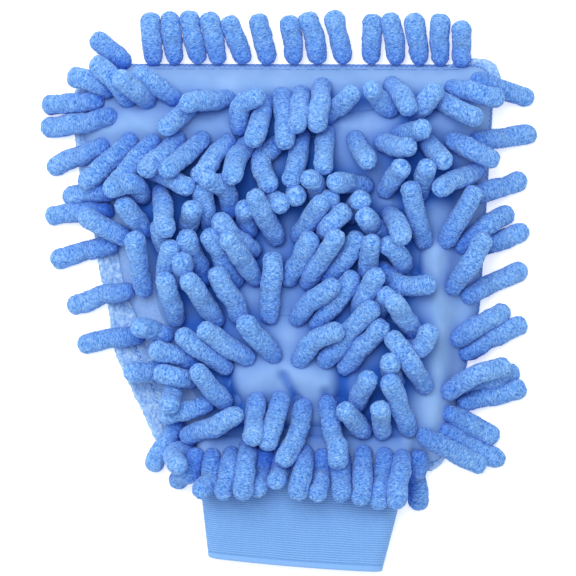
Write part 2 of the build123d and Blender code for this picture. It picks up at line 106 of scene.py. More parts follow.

# where the painted shade is heavier or lighter than the depth among the tufts alone would make it
CROWDED = ((-36, -68), (46, -69))       # painted shade where the roots of rows 10 and 11 crowd together
OPEN_BAND = ((-95, 74), (-54, 74))      # painted shade lifted on bare knit on the left, with light all round it
BULGE = ((-19, -42), (14, -42))         # more painted shade on the bare knit in the middle
CREASE_SHADE = 0.16                     # painted shade for each millimetre of a crease's depth
SHADED = {"tuft_row_11": 0.16}          # painted shade on the lowest row

TERRY_SIDES = 480
UNDER_RINGS = 80
OVER_RINGS = 8              # the upper side is hidden but for its rim
BAND_RINGS = 26
RIM_LIFT = 2.2              # the back's rim curls up by this
RIM_BAND = 14.0
TUCKED = 3.6                # how far the back's right side is pulled in under the front
LEFT_TUCKED = 2.6           # and its left side, by less

CUFF_RIB = 1.02             # from one rib of the cuff to the next
RIB_DEPTH = 0.3
CUFF_SIDES = 260
CUFF_HEM = 2.2
CUFF_WALL = 2.4
NECK = (7.0, -68.0, 100.0, 13.5)        # centre x, centre y, width, height
MOUTH = (2.4, -123.9, 79.5, 12.0)
MOUTH_SKEW = 4.7            # degrees
NECK_UNDERSIDE = 3.4
CUFF_EDGE = 0.28            # share of the cuff's length that lies on the back

FLOOR_GLOW = 0.45
SKY_STRENGTH = 0.62
SOFTBOX_SIZE = 0.8          # metres
SOFTBOX_POWER = 14          # watts
SOFTBOX_PLACE = (-0.25, 0.36, 1.35)     # metres
CAMERA_PLACE = (-0.0009, 0.0009, 1.6)   # metres
CAMERA_SPAN = 0.2592        # metres across the picture at the mitt's height
MITT_HEIGHT = 0.02

OVERLOCK_PITCH = 2.3
OVERLOCK_WIDTH = 1.1
THREAD_RADIUS = 0.2
THREAD_NEAR = 0.8           # the level of a stitch line is the mean height this near a point
THREAD_SINK = 0.05          # row threads are pulled this far into the cloth


# ---- noise ---------------------------------------------------------------------------
def hashed(cells, seed):
    """Repeatable numbers from 0 to 1 for whole-number grid cells."""
    x, y, z = [cells[..., axis].astype(np.int64) for axis in range(3)]
    mixed = x * 73856093 ^ y * 19349663 ^ z * 83492791 ^ (seed * 2654435761)
    mixed = (mixed ^ (mixed >> 13)) * 1274126177 & 0x7FFFFFFF
    mixed = (mixed ^ (mixed >> 16)) * 668265263 & 0x7FFFFFFF
    return (mixed ^ (mixed >> 15)) % 65536 / 65536.0


def smooth_noise(points, size, seed=0):
    """Soft noise from -1 to 1 with features of this size."""
    scaled = points / size
    corner = np.floor(scaled)
    part = scaled - corner
    part = part * part * (3 - 2 * part)
    total = np.zeros(len(points))
    for dx in (0, 1):
        for dy in (0, 1):
            for dz in (0, 1):
                weight = (part[:, 0] if dx else 1 - part[:, 0]) * (part[:, 1] if dy else 1 - part[:, 1])
                weight = weight * (part[:, 2] if dz else 1 - part[:, 2])
                total += weight * hashed(corner + np.array([dx, dy, dz]), seed)
    return 2 * total - 1


def clump_noise(points, size, seed=0):
    """From 0 in the gaps to 1 at the middle of rounded clumps of this size."""
    scaled = points / size
    corner = np.floor(scaled)
    nearest = np.full(len(points), 9.0)
    for dx in (-1, 0, 1):
        for dy in (-1, 0, 1):
            for dz in (-1, 0, 1):
                cell = corner + np.array([dx, dy, dz])
                centre = cell + np.stack([hashed(cell, seed + axis) for axis in range(3)], axis=1)
                nearest = np.minimum(nearest, ((scaled - centre) ** 2).sum(axis=1))
    return np.clip(1 - nearest, 0, 1)


# ---- meshes --------------------------------------------------------------------------
def make_piece(name, vertices, faces, nodes, values=None):
    """A smooth mesh object from millimetre vertices that stands for CAD nodes."""
    mesh = bpy.data.meshes.new(name)
    mesh.from_pydata((np.asarray(vertices) * MM).tolist(), [], faces)
    mesh.validate()
    mesh.polygons.foreach_set("use_smooth", [True] * len(mesh.polygons))
    for key, value in (values or {}).items():
        value = np.asarray(value, dtype=np.float32)
        kind, field = ("FLOAT", "value") if value.ndim == 1 else ("FLOAT_VECTOR", "vector")
        mesh.attributes.new(key, kind, "POINT").data.foreach_set(field, value.ravel())
    piece = bpy.data.objects.new(name, mesh)
    bpy.context.scene.collection.objects.link(piece)
    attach(piece, "root")
    if nodes:
        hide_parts(*nodes)
    return piece


def ring_faces(rings, sides, start=0, closed=True):
    """Quads between rings of vertices that follow each other."""
    faces = []
    last = sides if closed else sides - 1
    for ring in range(rings - 1):
        low = start + ring * sides
        for side in range(last):
            following = (side + 1) % sides
            faces.append((low + side, low + following, low + sides + following, low + sides + side))
    return faces


def cad_mesh(name):
    """Welded vertices (mm) and triangles of a CAD node."""
    work = bmesh.new()
    work.from_mesh(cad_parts[name].data)
    bmesh.ops.remove_doubles(work, verts=work.verts, dist=2e-6)
    bmesh.ops.triangulate(work, faces=work.faces)
    vertices = np.array([vertex.co for vertex in work.verts]) / MM
    triangles = np.array([[vertex.index for vertex in face.verts] for face in work.faces])
    work.free()
    return vertices, triangles


def separate_solids(vertices, triangles):
    """The triangles of each solid of a node, as a list of arrays."""
    label = np.arange(len(vertices))
    while True:
        lowest = label[triangles].min(axis=1)
        before = label.copy()
        for corner in range(3):
            np.minimum.at(label, triangles[:, corner], lowest)
        label = label[label]
        if (before == label).all():
            break
    owner = label[triangles[:, 0]]
    return [triangles[owner == value] for value in np.unique(owner)]


def surface_points(vertices, triangles, area=0.35):
    """Points spread evenly over triangles, one for about this many square millimetres."""
    a, b, c = [vertices[triangles[:, corner]] for corner in range(3)]
    sizes = np.linalg.norm(np.cross(b - a, c - a), axis=1) / 2
    counts = np.maximum(1, np.ceil(sizes / area)).astype(int)
    index = np.repeat(np.arange(len(triangles)), counts)
    order = np.arange(len(index))
    u = np.sqrt((order * 0.7548776662) % 1)
    v = (order * 0.5698402909) % 1
    return a[index] * (1 - u)[:, None] + b[index] * (u * (1 - v))[:, None] + c[index] * (u * v)[:, None]


def centre_line(vertices, triangles, stations=9):
    """Points along the middle of a round bar, from one end's ball centre to the other's."""
    points = surface_points(vertices, triangles)
    first = points[np.argmax(np.linalg.norm(points - points.mean(axis=0), axis=1))]
    last = points[np.argmax(np.linalg.norm(points - first, axis=1))]
    first = points[np.argmax(np.linalg.norm(points - last, axis=1))]
    to_first = np.linalg.norm(points - first, axis=1)
    to_last = np.linalg.norm(points - last, axis=1)
    share = to_first / (to_first + to_last)
    edges = np.linspace(0.22, 0.78, stations + 1)
    middle = [points[(share > low) & (share < high)] for low, high in zip(edges, edges[1:])]
    middle = np.array([group.mean(axis=0) for group in middle if len(group) > 12])
    start = first + (middle[0] - first) / np.linalg.norm(middle[0] - first) * CAD_TUFT_RADIUS
    end = last + (middle[-1] - last) / np.linalg.norm(middle[-1] - last) * CAD_TUFT_RADIUS
    line = np.vstack([start, middle, end])
    for _ in range(3):
        line[1:-1] = 0.25 * line[:-2] + 0.5 * line[1:-1] + 0.25 * line[2:]
    return line


def resampled(line, spacing):
    """The line at even steps of about this spacing."""
    lengths = np.concatenate([[0], np.cumsum(np.linalg.norm(np.diff(line, axis=0), axis=1))])
    count = max(4, int(round(lengths[-1] / spacing)) + 1)
    steps = np.linspace(0, lengths[-1], count)
    return np.stack([np.interp(steps, lengths, line[:, axis]) for axis in range(3)], axis=1)


# ---- tufts ---------------------------------------------------------------------------
def tuft_lines():
    """Centre lines of all tufts from root to tip, by row."""
    stitches, _ = cad_mesh("row_stitching")
    rows = {}
    for name in TUFT_ROWS:
        vertices, triangles = cad_mesh(name)
        lines = []
        for solid in separate_solids(vertices, triangles):
            line = centre_line(vertices, solid)
            ends = [np.linalg.norm(stitches - point, axis=1).min() for point in (line[0], line[-1])]
            lines.append(line if ends[0] <= ends[1] else line[::-1])
        rows[name] = sorted(lines, key=lambda line: (round(line[0][0], 2), round(line[0][1], 2)))
    return rows


def sunk_roots(rows, surface):
    """The same lines with each root lowered to the front's folded surface."""
    lowered = {}
    for name, lines in rows.items():
        lowered[name] = []
        for line in lines:
            wanted = surface(line[:1, :2])[0] + ROOT_SEAT * TUFT_RADIUS
            drop = np.clip(line[0, 2] - wanted, -0.8, ROOT_DROP)
            share = np.linspace(0, 1, len(line))
            line = line.copy()
            line[:, 2] -= drop * (1 - share) ** 2
            lowered[name].append(line)
    return lowered


def tuft_mesh(line, seed):
    """One chenille tuft: vertices, faces, and each vertex's pile height, share of the length
    and place in the grain."""
    line = resampled(line, RING_SPACING)
    along = np.arange(len(line)) * np.linalg.norm(line[1] - line[0])
    track = np.stack([along + 31 * seed, 0 * along, 0 * along], axis=1)
    sway = np.stack([smooth_noise(track, SWAY_LENGTH, axis) for axis in range(3)], axis=1)
    line = line + SWAY * (sway - sway[0]) * np.minimum(1, along / 8)[:, None]
    tangents = np.gradient(line, axis=0)
    tangents /= np.linalg.norm(tangents, axis=1)[:, None]
    side = np.cross(tangents[0], [0.3, 0.2, 1.0])
    sides = []
    for tangent in tangents:
        side = side - tangent * (side @ tangent)
        side = side / np.linalg.norm(side)
        sides.append(side)
    sides = np.array(sides)
    across = np.cross(tangents, sides)
    turn = np.linspace(0, math.pi / 2, CAP_RINGS + 1)[1:-1]
    # each ring is a station of the line, how far it is pushed along, and its share of the radius
    rings = [(0, -TUFT_RADIUS * math.cos(angle), math.sin(angle) ** END_FLATNESS) for angle in turn]
    rings += [(index, 0.0, 1.0) for index in range(len(line))]
    rings += [(len(line) - 1, TUFT_RADIUS * TIP_BULGE * math.cos(angle), math.sin(angle) ** END_FLATNESS)
              for angle in turn[::-1]]
    index = np.array([ring[0] for ring in rings])
    push = np.array([ring[1] for ring in rings])
    factor = np.array([ring[2] for ring in rings])
    length = along[-1]
    at = along[index] + push
    waist = smooth_noise(np.stack([at + 57 * seed, 0 * at, 0 * at], axis=1), 5, 9)
    swell = 0.93 + 0.07 * np.clip(at / 6, 0, 1) + 0.05 * waist
    angles = np.arange(TUFT_SIDES) * 2 * math.pi / TUFT_SIDES
    cosine, sine = np.cos(angles), np.sin(angles)
    outward = sides[index][:, None] * cosine[None, :, None] + across[index][:, None] * sine[None, :, None]
    lean = push / TUFT_RADIUS
    normal = outward * np.sqrt(np.clip(1 - lean ** 2, 0.03, 1))[:, None, None]
    normal = normal + tangents[index][:, None] * lean[:, None, None]
    radius = TUFT_RADIUS * swell * factor
    base = line[index][:, None] + tangents[index][:, None] * push[:, None, None]
    base = base + outward * radius[:, None, None]
    flat = np.stack([np.outer(radius, cosine), np.outer(radius, sine),
                     np.repeat(at[:, None], TUFT_SIDES, axis=1)], axis=2).reshape(-1, 3)
    flat = flat + np.array([17.0, 5.0, 41.0]) * (seed + 1)
    clumps = clump_noise(flat, PILE_CLUMP, seed)
    grain = smooth_noise(flat, 0.9, 3)
    lumps = smooth_noise(flat, LUMP_SIZE, 5)
    pile = 0.65 * clumps + 0.35 * (grain + 1) / 2
    height = PILE_HEIGHT * (pile - 0.5) + LUMP_HEIGHT * lumps
    vertices = base.reshape(-1, 3) + normal.reshape(-1, 3) * height[:, None]
    ends = np.array([flat[:TUFT_SIDES].mean(axis=0), flat[-TUFT_SIDES:].mean(axis=0)])
    place = np.vstack([flat, ends]) * np.array(GRAIN_STRETCH)
    count = len(rings)
    faces = ring_faces(count, TUFT_SIDES)
    tip = line[-1] + tangents[-1] * TUFT_RADIUS * 0.9
    root = line[0] - tangents[0] * TUFT_RADIUS
    vertices = np.vstack([vertices, root, tip])
    vertices[:, 2] = np.maximum(vertices[:, 2], LEAST_HEIGHT)
    low, high = len(vertices) - 2, len(vertices) - 1
    last = (count - 1) * TUFT_SIDES
    for one in range(TUFT_SIDES):
        two = (one + 1) % TUFT_SIDES
        faces.append((low, two, one))
        faces.append((high, last + one, last + two))
    share = np.repeat(np.clip(at / length, 0, 1), TUFT_SIDES)
    return vertices, faces, np.append(pile, [0.3, 0.4]), np.append(share, [0, 1]), place


def make_tufts(rows, depth):
    """One object for each row of tufts."""
    pieces = []
    seed = 0
    for name, lines in rows.items():
        vertices, faces, pile, share, tint, places = [], [], [], [], [], []
        for line in lines:
            seed += 1
            points, quads, heights, shares, place = tuft_mesh(line, seed)
            start = sum(len(group) for group in vertices)
            vertices.append(points)
            faces += [tuple(corner + start for corner in face) for face in quads]
            pile.append(heights)
            share.append(shares)
            places.append(place * MM)
            tint.append(np.full(len(points), float(hashed(np.array([seed, 7, 3]), 1))))
        vertices = np.vstack(vertices)
        share = np.concatenate(share)
        # painted shade: darker far down among the tufts, towards the roots and on the lowest row
        painted_shade = np.clip(0.9 * depth(vertices) + 0.45 * (1 - share) ** 2 + SHADED.get(name, 0), 0, 1)
        values = {"pile": np.concatenate(pile), "painted_shade": painted_shade, "tint": np.concatenate(tint),
                  "place": np.vstack(places)}
        pieces.append(make_piece(name + "_chenille", vertices, faces, [name], values))
    return pieces


def depth_finder(rows, surface):
    """A function that says how far points lie below what is on top round them, from 0 to 1, which sets how
    much shade is painted on them.
    """
    steps = np.arange(-MAP_REACH, MAP_REACH + 1)
    xs, ys = np.meshgrid(steps, steps, indexing="ij")
    top = surface(np.column_stack([xs.ravel(), ys.ravel()])).reshape(xs.shape)
    window = np.arange(-4, 5)
    dx, dy = np.meshgrid(window, window, indexing="ij")
    ball = np.sqrt(np.clip(TUFT_RADIUS ** 2 - dx ** 2 - dy ** 2, 0, None))
    covered = dx ** 2 + dy ** 2 < TUFT_RADIUS ** 2
    for lines in rows.values():
        for line in lines:
            for x, y, z in resampled(line, 1.5):
                column = int(round(x)) + MAP_REACH - 4
                row = int(round(y)) + MAP_REACH - 4
                patch = top[column:column + 9, row:row + 9]
                patch[covered] = np.maximum(patch, z + ball)[covered]
    reach = int(3 * MAP_BLUR)
    kernel = np.exp(-(np.arange(-reach, reach + 1) / MAP_BLUR) ** 2 / 2)
    kernel /= kernel.sum()
    for axis in (0, 1):
        top = np.apply_along_axis(lambda values: np.convolve(values, kernel, mode="same"), axis, top)

    def depth(points):
        place = np.clip(points[:, :2] + MAP_REACH, 0, 2 * MAP_REACH - 1.001)
        cell = place.astype(int)
        part = place - cell
        i, j = cell[:, 0], cell[:, 1]
        u, v = part[:, 0], part[:, 1]
        level = (top[i, j] * (1 - u) * (1 - v) + top[i + 1, j] * u * (1 - v)
                 + top[i, j + 1] * (1 - u) * v + top[i + 1, j + 1] * u * v)
        return np.clip((level - points[:, 2] - 0.8) / DEEP_RANGE, 0, 1)

    return depth


# ---- panels --------------------------------------------------------------------------
def plan_outline(name, count):
    """The convex outline of a flat node seen from above, at even steps from its top."""
    vertices, _ = cad_mesh(name)
    points = sorted(set((round(x, 3), round(y, 3)) for x, y, _ in vertices))
    hull = []
    for sweep in (points, points[::-1]):
        chain = []
        for point in sweep:
            while len(chain) > 1 and turn_of(chain[-2], chain[-1], point) <= 0:
                chain.pop()
            chain.append(point)
        hull += chain[:-1]
    closed = np.array(hull + hull[:1])
    lengths = np.concatenate([[0], np.cumsum(np.linalg.norm(np.diff(closed, axis=0), axis=1))])
    steps = np.linspace(0, lengths[-1], count + 1)[:-1]
    return np.stack([np.interp(steps, lengths, closed[:, axis]) for axis in range(2)], axis=1)


def front_outline(count):
    """The front's outline, let out on the left where the bare cloth covers the back's rim."""
    outline = plan_outline("front_panel", count)
    away = (outline[:, 1] - LET_OUT_Y) / LET_OUT_REACH
    outline[:, 0] -= LET_OUT * np.exp(-away ** 2) * (outline[:, 0] < -60)
    return outline


def turn_of(a, b, c):
    """Twice the signed area of a triangle in the plan."""
    return (b[0] - a[0]) * (c[1] - a[1]) - (b[1] - a[1]) * (c[0] - a[0])


def segment_distance(plan, start, end):
    """Distance in the plan from points to a straight line between two points."""
    start, end = np.asarray(start, dtype=float), np.asarray(end, dtype=float)
    run = end - start
    share = np.clip(((plan - start) @ run) / max(run @ run, 1e-9), 0, 1)
    return np.linalg.norm(plan - start - share[:, None] * run, axis=1)


def inset_of(plan, outline):
    """How far points lie inside a convex anticlockwise outline; 0 outside it."""
    best = np.full(len(plan), 1e9)
    for start, end in zip(outline, np.roll(outline, -1, axis=0)):
        run = end - start
        best = np.minimum(best, (run[0] * (plan[:, 1] - start[1]) - run[1] * (plan[:, 0] - start[0]))
                          / np.hypot(*run))
    return np.clip(best, 0, None)


def row_distance(plan, rows):
    """Distance in the plan from points to the nearest row of roots."""
    best = np.full(len(plan), 99.0)
    for lines in rows.values():
        roots = np.array(sorted((line[0][0], line[0][1]) for line in lines))
        for start, end in zip(roots, roots[1:]):
            best = np.minimum(best, segment_distance(plan, start, end))
    return best


def cuff_section(share):
    """Centre, sideways direction, width and height of the cuff at a share of its length."""
    skew = math.radians(MOUTH_SKEW * share)
    centre_x, centre_y, width, height = [a + share * (b - a) for a, b in zip(NECK, MOUTH)]
    lift = NECK_UNDERSIDE * min(1.0, (1 - share) / (1 - CUFF_EDGE))
    centre = np.array([centre_x, centre_y, lift + height / 2])
    return centre, np.array([math.cos(skew), -math.sin(skew), 0.0]), width, height


def cuff_top(plan):
    """Height of the cuff's upper side under plan points near the front's lower edge."""
    share = np.clip((NECK[1] - plan[:, 1]) / (NECK[1] - MOUTH[1]), 0, 1)
    width = NECK[2] + share * (MOUTH[2] - NECK[2])
    height = NECK[3] + share * (MOUTH[3] - NECK[3])
    lift = NECK_UNDERSIDE * np.minimum(1.0, (1 - share) / (1 - CUFF_EDGE))
    off = np.abs(plan[:, 0] - NECK[0] - share * (MOUTH[0] - NECK[0])) - (width - height) / 2
    round_side = np.sqrt(np.clip((height / 2) ** 2 - np.clip(off, 0, None) ** 2, 0, None))
    inside = (off < height / 2) & (plan[:, 1] < NECK[1] + 12)
    fade = np.clip((NECK[1] + 12 - plan[:, 1]) / 12, 0, 1)
    fade = fade * fade * (3 - 2 * fade)
    return np.where(inside, fade * (lift + height / 2 + round_side), 0)


def front_surface_finder(rows):
    """A function that gives the height of the knit front's upper side over plan points."""
    outline = front_outline(PANEL_SIDES)

    def surface(plan):
        inset = inset_of(plan, outline)
        share = np.clip(inset / PUFF_REACH, 0, 1)
        puffed = EDGE_HEIGHT + PUFF_HEIGHT * (1 - (1 - share) ** 2) ** PUFF_POWER
        inside = 1 - np.exp(-inset / RISE_REACH)
        near_row = row_distance(plan, rows)
        quilt = QUILT * (1 - np.exp(-(near_row / QUILT_REACH) ** 2)) - QUILT_SINK
        spot = np.column_stack([plan, np.zeros(len(plan))])
        folds = WRINKLE * smooth_noise(spot * np.array([1.0, 0.22, 1.0]), WRINKLE_SIZE, 11)
        folds += CREPE * smooth_noise(spot * np.array([1.0, 0.4, 1.0]), CREPE_SIZE, 12)
        broad = SWELL * smooth_noise(spot, SWELL_SIZE, 13)
        height = puffed + inside * (quilt + folds + broad)
        for ax, ay, bx, by, rise, half in FOLDS:
            away = segment_distance(plan, (ax, ay), (bx, by)) / half
            height = height + inside * rise * np.exp(-away ** 2)
        over = cuff_top(plan) + KNIT_THICKNESS + CUFF_AIR
        draped = (height + over + np.sqrt((height - over) ** 2 + 1)) / 2
        return np.where(over > 2, draped, height)

    return surface


def ring_cap(start, count):
    """One face over a ring of vertices."""
    return tuple(range(start, start + count))


def make_front_panel(surface, depth):
    """The knit front: puffed from its edge, quilted between the rows, with soft folds."""
    outline = front_outline(PANEL_SIDES)
    middle = outline.mean(axis=0)
    fine = 1 - np.linspace(1, 0, FRONT_RINGS) ** 1.25
    fine[0] = 0.004
    coarse = fine[::UNDERSIDE_STEP]
    upper_plan = (middle + (outline - middle)[None] * fine[:, None, None]).reshape(-1, 2)
    lower_plan = (middle + (outline - middle)[None] * coarse[:, None, None]).reshape(-1, 2)
    upper = np.column_stack([upper_plan, surface(upper_plan)])
    lower = np.column_stack([lower_plan, surface(lower_plan) - KNIT_THICKNESS])
    flat_faces = ring_faces(len(fine), PANEL_SIDES)
    start = len(upper)
    under = [face[::-1] for face in ring_faces(len(coarse), PANEL_SIDES, start)]
    edge = (len(fine) - 1) * PANEL_SIDES
    low_edge = start + (len(coarse) - 1) * PANEL_SIDES
    rim = []
    for one in range(PANEL_SIDES):
        two = (one + 1) % PANEL_SIDES
        rim.append((edge + one, low_edge + one, low_edge + two, edge + two))
    caps = [ring_cap(0, PANEL_SIDES)[::-1], ring_cap(start, PANEL_SIDES)]
    vertices = np.vstack([upper, lower])
    # painted shade: darker far down among the tufts, where the roots crowd, over the bulge and in the
    # creases; lifted on the open band and faded out near the edge
    band = np.clip((inset_of(vertices[:, :2], outline) - 5) / 12, 0, 1)
    crowd = segment_distance(vertices[:, :2], *CROWDED)
    painted_shade = depth(vertices) + 0.7 * np.exp(-(crowd / 6) ** 2)
    painted_shade = painted_shade * (1 - 0.75 * np.exp(-(segment_distance(vertices[:, :2], *OPEN_BAND) / 13) ** 2))
    painted_shade += 0.13 * np.exp(-(segment_distance(vertices[:, :2], *BULGE) / 12) ** 4)
    # painted shade in the deeper creases
    for ax, ay, bx, by, rise, half in FOLDS:
        if rise < -2:
            away = segment_distance(vertices[:, :2], (ax, ay), (bx, by)) / half
            painted_shade = painted_shade - CREASE_SHADE * rise * np.exp(-away ** 2)
    painted_shade = np.clip(painted_shade, 0, 1) * band
    return make_piece("front_panel_knit", vertices, flat_faces + under + rim + caps,
                      ["front_panel"], {"painted_shade": painted_shade})


def passed(values, start, end):
    """From 0 at the start, or before it, to 1 at the end and beyond."""
    return np.clip((values - start) / (end - start), 0, 1)


def make_back_panel():
    """The loop-pile back: a thick cloth with a fuzzy rounded rim."""
    outline = plan_outline("back_panel", TERRY_SIDES)
    middle = outline.mean(axis=0)
    x, y = outline.T
    right = passed(x, 40, 70) * passed(y, 94, 82)
    above = passed(y, 98, 102) * passed(np.abs(x), 80, 70)
    left = passed(x, -60, -70) * passed(y, -24, -8) * passed(y, 46, 24)
    outline = outline.copy()
    outline[:, 0] += LEFT_TUCKED * left - TUCKED * right
    outline[:, 1] -= TUCKED * above
    size = np.linalg.norm(outline - middle, axis=1).mean()
    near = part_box("back_panel")
    thickness = (near[1].z - near[0].z) / MM
    band = size - RIM_BAND + np.linspace(0, RIM_BAND, BAND_RINGS)[1:]
    under = np.concatenate([np.linspace(2, size - RIM_BAND, UNDER_RINGS), band]) / size
    over = np.concatenate([np.linspace(2, size - RIM_BAND, OVER_RINGS), band]) / size
    angle = np.linspace(-math.pi / 2, math.pi / 2, 9)[1:-1]
    rim = [(1 + 0.9 * math.cos(a) * thickness / 2 / size, thickness / 2 * (1 + math.sin(a))) for a in angle]
    profile = [(share, 0.0) for share in under] + rim + [(share, thickness) for share in over[::-1]]
    rings = []
    for share, z in profile:
        ring = middle + (outline - middle) * share
        rise = RIM_LIFT * np.clip((share - 0.9) / 0.1, 0, 1) ** 2
        rings.append(np.column_stack([ring, np.full(TERRY_SIDES, z + rise)]))
    points = np.array(rings)
    flat = points.reshape(-1, 3)
    loops = clump_noise(flat, 1.5, 21)
    fuzz = smooth_noise(flat, 0.9, 22)
    normals = ring_normals(points)
    height = 1.0 * (loops - 0.5) + 0.35 * fuzz
    height = np.where(flat[:, 2] < thickness * 0.3, height * 0.6 + 0.25, height)
    moved = flat + normals.reshape(-1, 3) * height[:, None]
    moved[:, 2] = np.maximum(moved[:, 2], 0.05)
    faces = ring_faces(len(points), TERRY_SIDES)
    total = len(moved)
    caps = [ring_cap(0, TERRY_SIDES)[::-1], ring_cap(total - TERRY_SIDES, TERRY_SIDES)]
    return make_piece("back_panel_terry", moved, faces + caps, ["back_panel"],
                      {"pile": 0.65 * loops + 0.35 * (fuzz + 1) / 2})


def ring_normals(points):
    """Outward normals of a surface given as rings of points."""
    along = np.gradient(points, axis=0)
    around = np.roll(points, -1, axis=1) - np.roll(points, 1, axis=1)
    normals = np.cross(around, along)
    normals /= np.maximum(np.linalg.norm(normals, axis=2), 1e-9)[:, :, None]
    return normals


# ---- cuff ----------------------------------------------------------------------------
def slot_ring(width, height, count):
    """Points and outward normals (sideways, up) at even steps round a slot-shaped section."""
    radius = height / 2
    straight = width - height
    steps = np.arange(count) / count * (2 * straight + 2 * math.pi * radius)
    points, normals = [], []
    for step in steps:
        if step < straight:
            point, normal = (step - straight / 2, radius), (0.0, 1.0)
        elif step < straight + math.pi * radius:
            turn = math.pi / 2 - (step - straight) / radius
            normal = (math.cos(turn), math.sin(turn))
            point = (straight / 2 + radius * normal[0], radius * normal[1])
        elif step < 2 * straight + math.pi * radius:
            point = (straight / 2 - (step - straight - math.pi * radius), -radius)
            normal = (0.0, -1.0)
        else:
            turn = -math.pi / 2 - (step - 2 * straight - math.pi * radius) / radius
            normal = (math.cos(turn), math.sin(turn))
            point = (-straight / 2 + radius * normal[0], radius * normal[1])
        points.append(point)
        normals.append(normal)
    return np.array(points), np.array(normals)


def make_cuff():
    """The ribbed knit tube: ribs round it, a plain hem at the mouth, open inside."""
    length = math.dist(NECK[:2], MOUTH[:2])
    count = int(length / (CUFF_RIB / 4))
    outer = [(index / count, 0.0) for index in range(count + 1)]
    lip = [(1 + 0.011 * math.sin(a), CUFF_WALL / 2 * (1 - math.cos(a))) for a in (0.8, 1.57, 2.34)]
    inner = [(share, CUFF_WALL) for share in np.linspace(1, 0, 30)]
    rings, ribs = [], []
    for share, inset in outer + lip + inner:
        centre, sideways, width, height = cuff_section(min(share, 1.0))
        shape, normals = slot_ring(width - 2 * inset, height - 2 * inset, CUFF_SIDES)
        at = share * length
        around = np.arange(CUFF_SIDES) * 0.8
        wave = smooth_noise(np.column_stack([around, np.full(CUFF_SIDES, at * 0.5), 0 * around]), 9, 31)
        phase = (at + 0.22 * wave) / CUFF_RIB
        crest = (0.5 + 0.5 * np.cos(2 * math.pi * phase)) ** 0.8
        hem = np.clip((at - (length - CUFF_HEM)) / 0.5, 0, 1)
        crest = crest * (1 - hem) + 0.8 * hem
        # a groove at the hem's fold, which the rib knit's colour also darkens as painted shade
        if length - CUFF_HEM - 0.3 < at < length - CUFF_HEM + 0.3:
            crest = crest * 0.3
        if inset:
            crest = 0 * crest + 0.7
        shape = shape - normals * (RIB_DEPTH * (1 - crest))[:, None] * (inset == 0)
        bulge = 0.8 * min(share, 1.0) ** 3 * (1 - (shape[:, 0] / (width / 2)) ** 2)
        ring = centre + shape[:, :1] * sideways + shape[:, 1:] * np.array([0, 0, 1.0])
        ring[:, 1] -= bulge + max(0.0, share - 1) * length
        rings.append(ring)
        ribs.append(crest)
    faces = [face[::-1] for face in ring_faces(len(rings), CUFF_SIDES)]
    last = (len(rings) - 1) * CUFF_SIDES
    for one in range(CUFF_SIDES):
        two = (one + 1) % CUFF_SIDES
        faces.append((one, two, last + two, last + one))
    vertices = np.vstack(rings)
    vertices[:, 2] = np.maximum(vertices[:, 2], 0.05)
    return make_piece("cuff_ribbed", vertices, faces, ["cuff"], {"rib": np.concatenate(ribs)})


# ---- threads and inner pieces ----------------------------------------------------------
def tube_mesh(path, radius, sides=6):
    """A closed loop of thread along a closed path."""
    tangents = np.roll(path, -1, axis=0) - np.roll(path, 1, axis=0)
    tangents /= np.linalg.norm(tangents, axis=1)[:, None]
    across = np.cross(tangents, np.array([0, 0, 1.0]))
    across /= np.linalg.norm(across, axis=1)[:, None]
    upward = np.cross(across, tangents)
    angles = np.arange(sides) * 2 * math.pi / sides
    rings = (path[:, None] + radius * (across[:, None] * np.cos(angles)[None, :, None]
                                       + upward[:, None] * np.sin(angles)[None, :, None]))
    faces = ring_faces(len(path), sides)
    last = (len(path) - 1) * sides
    for one in range(sides):
        two = (one + 1) % sides
        faces.append((last + one, last + two, two, one))
    return rings.reshape(-1, 3), [face[::-1] for face in faces]


def make_overlock(surface):
    """The edge seam: thread that zigzags over the front's edge all round."""
    outline = front_outline(3000)
    total = np.linalg.norm(outline - np.roll(outline, -1, axis=0), axis=1).sum()
    stitches = int(total / OVERLOCK_PITCH)
    steps = np.arange(stitches * 10) / 10
    place = steps / stitches * len(outline)
    low = place.astype(int)
    part = (place - low)[:, None]
    edge = outline[low % len(outline)] * (1 - part) + outline[(low + 1) % len(outline)] * part
    run = np.roll(edge, -1, axis=0) - np.roll(edge, 1, axis=0)
    run /= np.linalg.norm(run, axis=1)[:, None]
    inward = np.column_stack([-run[:, 1], run[:, 0]])
    swing = 0.5 - 0.5 * np.cos(2 * math.pi * steps)
    plan = edge + inward * (0.25 + OVERLOCK_WIDTH * swing)[:, None]
    path = np.column_stack([plan, surface(plan) + 0.1])
    vertices, faces = tube_mesh(path, THREAD_RADIUS)
    return make_piece("perimeter_overlock", vertices, faces, ["perimeter_seam"])


def make_row_thread(surface):
    """The CAD stitch lines, laid on the folded front."""
    vertices, triangles = cad_mesh("row_stitching")
    for solid in separate_solids(vertices, triangles):
        used = np.unique(solid)
        spot = vertices[used]
        near = np.linalg.norm(spot[:, None, :2] - spot[None, :, :2], axis=2) < THREAD_NEAR
        level = (near * spot[None, :, 2]).sum(axis=1) / near.sum(axis=1)
        vertices[used, 2] += surface(spot[:, :2]) - THREAD_SINK - level
    faces = [tuple(face) for face in triangles]
    return make_piece("row_thread", vertices, faces, ["row_stitching"])


def make_slack_lining():
    """The front half of the inner bag, hanging a little lower than the CAD's."""
    vertices, triangles = cad_mesh("lining_front")
    low = vertices[:, 2].min()
    vertices[:, 2] = low + (vertices[:, 2] - low) * 0.6
    vertices[:, 2] += 0.3 * smooth_noise(vertices, 8, 41)
    return make_piece("lining_front_slack", vertices, [tuple(face) for face in triangles],
                      ["lining_front"])


# ---- materials -----------------------------------------------------------------------
def new_material(name):
    """A node material with an empty tree but for its output and shader."""
    material = bpy.data.materials.new(name)
    material.use_nodes = True
    tree = material.node_tree
    return material, tree, tree.nodes["Principled BSDF"]


